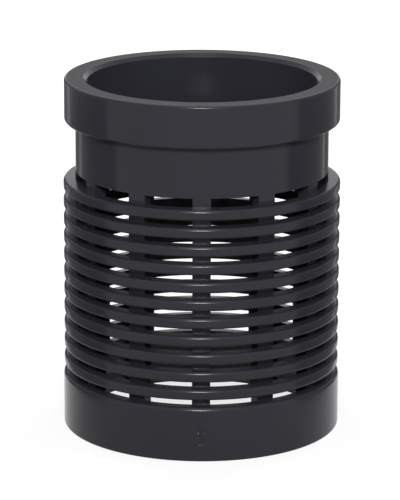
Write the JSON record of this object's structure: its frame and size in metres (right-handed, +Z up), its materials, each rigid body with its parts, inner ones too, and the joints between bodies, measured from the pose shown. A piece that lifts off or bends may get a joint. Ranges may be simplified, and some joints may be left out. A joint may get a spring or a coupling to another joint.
{
  "type": "foot valve",
  "caption": "Plastic foot valve for a suction line: open pipe socket on top, ringed strainer cage below, and a spring-closed cone valve in the neck.",
  "frame": {"origin": "centre of the base band's bottom face, which the part stands on", "axes": "+Z up the flow axis, from the strainer's open foot to the pipe socket; one post of the cage and the flow arrow face -Y"},
  "size_m": [0.1094, 0.1093, 0.1396],
  "materials": {
    "dark_pvc": "semi-gloss moulded PVC-U, dark grey",
    "inner_pvc": "semi-gloss moulded PVC-U, mid grey",
    "black_rubber": "matt moulded EPDM",
    "stainless": "turned and stamped stainless steel",
    "spring_wire": "drawn stainless spring wire",
    "bush_white": "natural acetal, satin"
  },
  "bodies": {
    "housing": {"strainer_body": "dark_pvc", "seat_ring": "inner_pvc", "seat_o_ring": "black_rubber", "retaining_ring": "stainless", "guide_spider": "inner_pvc", "guide_bush": "bush_white", "lift_stop_ring": "black_rubber", "spring_washer": "stainless", "return_spring": "spring_wire"},
    "shutter": {"valve_cone": "inner_pvc", "cone_seal": "black_rubber", "clamp_plate": "stainless", "clamp_screws": "stainless", "spring_cup": "stainless", "stem": "stainless", "stem_o_ring": "black_rubber", "stem_washer": "stainless", "lock_washer": "stainless", "stem_nut": "stainless", "stem_clip": "stainless"}
  },
  "joints": [
    {"name": "shutter_lift", "type": "slide", "parent": "housing", "child": "shutter", "axis": [0, 0, 1], "range_m": [0, 0.0075], "stiffness_N_per_m": 500, "springref_m": -0.009, "deforming": ["return_spring"]}
  ]
}
